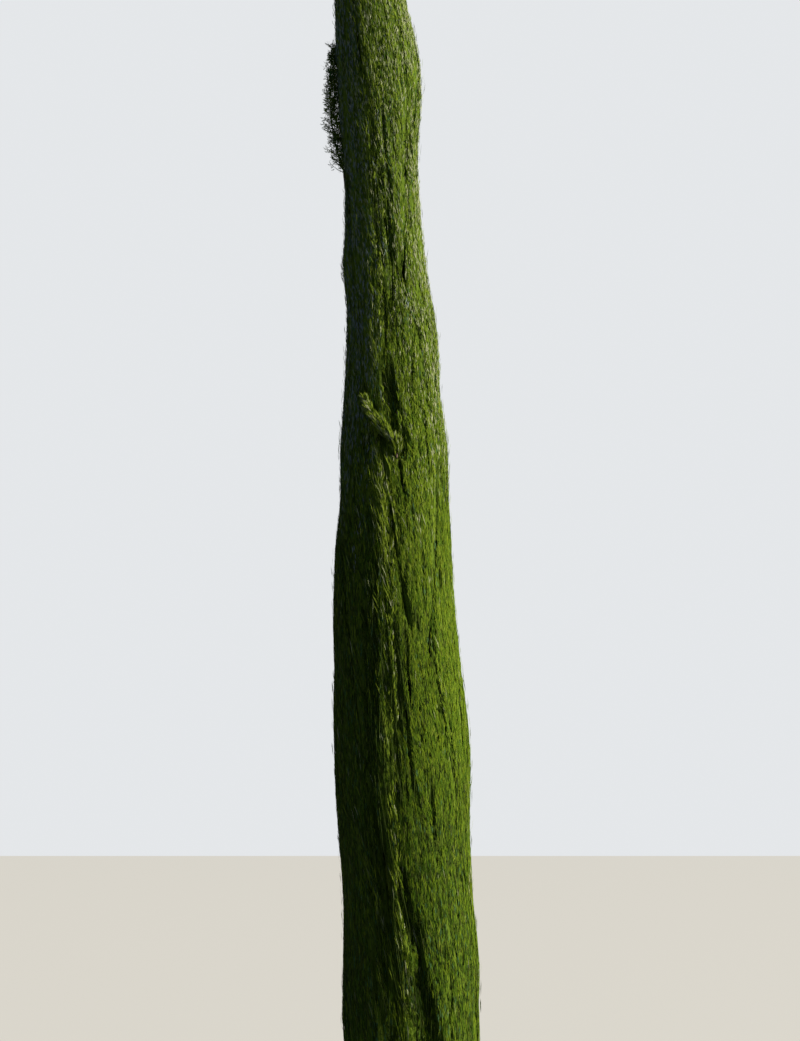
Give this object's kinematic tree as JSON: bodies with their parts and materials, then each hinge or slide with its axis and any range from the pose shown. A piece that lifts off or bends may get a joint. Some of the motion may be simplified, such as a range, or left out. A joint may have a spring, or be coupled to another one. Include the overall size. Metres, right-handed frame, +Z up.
{
  "type": "italian cypress tree",
  "caption": "A tall slim column of upright foliage round one leaning trunk, with plumes of scale-leaf sprays, a pointed top and a flat cut foot that is fixed in the ground.",
  "frame": {"origin": "middle of the trunk's flat foot, at ground level", "axes": "+Z up, -X towards the side that the trunk leans to, -Y towards the viewer of the picture"},
  "size_m": [1.16, 1.0197, 9.9999],
  "materials": {
    "bark": "rough, finely furrowed grey-brown bark",
    "foliage": "matt deep green scale leaves"
  },
  "bodies": {
    "root": {"bough_01": "bark", "bough_02": "bark", "bough_03": "bark", "bough_04": "bark", "bough_05": "bark", "bough_06": "bark", "bough_07": "bark", "bough_08": "bark", "bough_09": "bark", "bough_10": "bark", "bough_11": "bark", "bough_12": "bark", "bough_13": "bark", "bough_14": "bark", "bough_15": "bark", "bough_16": "bark", "bough_17": "bark", "bough_18": "bark", "bough_19": "bark", "bough_20": "bark", "bough_21": "bark", "bough_22": "bark", "bough_23": "bark", "feathery_plume": "foliage", "feathery_plume_bough": "bark", "leader": "foliage", "leaning_plume": "foliage", "leaning_plume_bough": "bark", "plume_01": "foliage", "plume_02": "foliage", "plume_03": "foliage", "plume_04": "foliage", "plume_05": "foliage", "plume_06": "foliage", "plume_07": "foliage", "plume_08": "foliage", "plume_09": "foliage", "plume_10": "foliage", "plume_11": "foliage", "plume_12": "foliage", "plume_13": "foliage", "plume_14": "foliage", "plume_15": "foliage", "plume_16": "foliage", "plume_17": "foliage", "plume_18": "foliage", "plume_19": "foliage", "plume_20": "foliage", "plume_21": "foliage", "plume_22": "foliage", "plume_23": "foliage", "trunk": "bark"}
  },
  "joints": []
}
